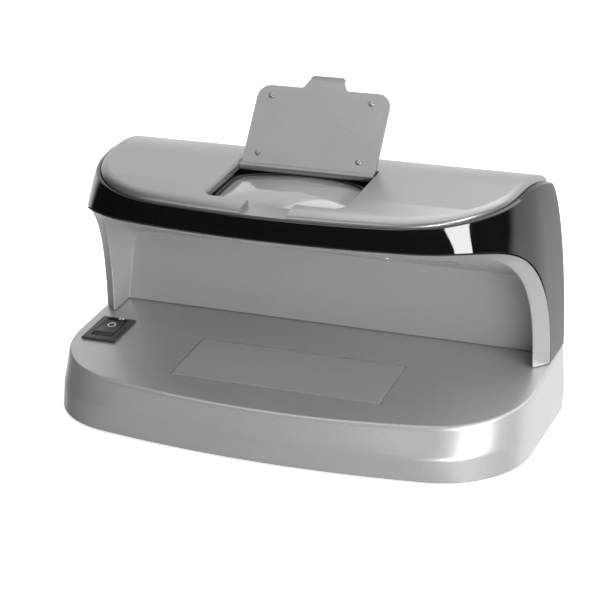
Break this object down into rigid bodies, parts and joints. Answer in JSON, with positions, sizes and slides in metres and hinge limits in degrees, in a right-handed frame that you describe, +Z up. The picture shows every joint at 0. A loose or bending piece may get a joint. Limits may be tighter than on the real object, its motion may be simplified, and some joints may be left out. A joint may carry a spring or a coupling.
{
  "type": "counterfeit bill detector",
  "caption": "Tabletop bill checker: sloping platen under a C-shaped hood with an ultraviolet bay, a magnifier under a hinged flap and a rocker switch.",
  "frame": {"origin": "on the table, under the middle of the base", "axes": "+Z up; +X to the user's right, along the long side; -Y towards the user, out of the open bay"},
  "size_m": [0.1896, 0.0856, 0.1261],
  "materials": {
    "silver_paint": "silver grey metallic paint on moulded plastic, satin",
    "grey_paint": "darker grey metallic paint on moulded plastic, satin",
    "gloss_black": "piano black, highly polished",
    "matt_black": "fine moulded texture",
    "rubber": "soft black rubber",
    "steel": "plain zinc-plated steel",
    "opal_acrylic": "white translucent acrylic",
    "clear_acrylic": "clear moulded lens",
    "violet_filter": "dark violet filter glass look",
    "circuit_board": "green solder mask",
    "led_body": "clear to yellowish epoxy",
    "capacitor_can": "drawn can",
    "wire_sheath": "soft vinyl sheath",
    "tinned_brass": "tinned contact blades"
  },
  "bodies": {
    "base": {"base_shell": "silver_paint", "bottom_plate": "matt_black", "foot_left_rear": "rubber", "foot_right_rear": "rubber", "foot_left_front": "rubber", "foot_right_front": "rubber", "bottom_screw_left_rear": "steel", "bottom_screw_right_rear": "steel", "bottom_screw_left_front": "steel", "bottom_screw_right_front": "steel", "platen_window": "opal_acrylic", "backlight_board": "circuit_board", "backlight_led_1": "led_body", "backlight_led_2": "led_body", "backlight_led_3": "led_body", "backlight_led_4": "led_body", "control_board": "circuit_board", "control_chip": "matt_black", "control_capacitor_1": "capacitor_can", "control_capacitor_2": "capacitor_can", "dc_jack": "matt_black", "wire_uv": "wire_sheath", "wire_switch": "wire_sheath", "switch_housing": "matt_black", "switch_terminal_1": "tinned_brass", "switch_terminal_2": "tinned_brass", "switch_terminal_3": "tinned_brass", "hood_wrap": "gloss_black", "bay_liner": "silver_paint", "back_cover": "matt_black", "back_screw_left": "steel", "back_screw_right": "steel", "top_cover": "grey_paint", "magnifier_lens": "clear_acrylic", "lens_ring": "matt_black", "lens_well": "matt_black", "lid_hinge_pin": "steel", "uv_filter_left": "violet_filter", "uv_filter_right": "violet_filter", "uv_board_left": "circuit_board", "uv_board_right": "circuit_board", "uv_led_left_1": "led_body", "uv_led_left_2": "led_body", "uv_led_left_3": "led_body", "uv_led_right_1": "led_body", "uv_led_right_2": "led_body", "uv_led_right_3": "led_body"},
    "lid": {"lid_flap": "grey_paint"},
    "rocker": {"switch_rocker": "matt_black"}
  },
  "joints": [
    {"name": "lid_hinge", "type": "hinge", "parent": "base", "child": "lid", "pos_m": [0, 0.0152, 0.09541], "axis": [1, 0, 0], "range_deg": [0, 132.4]},
    {"name": "rocker_pivot", "type": "hinge", "parent": "base", "child": "rocker", "pos_m": [-0.0817, 0.00584, 0.02304], "axis": [1, 0, 0], "range_deg": [-10, 10]}
  ]
}
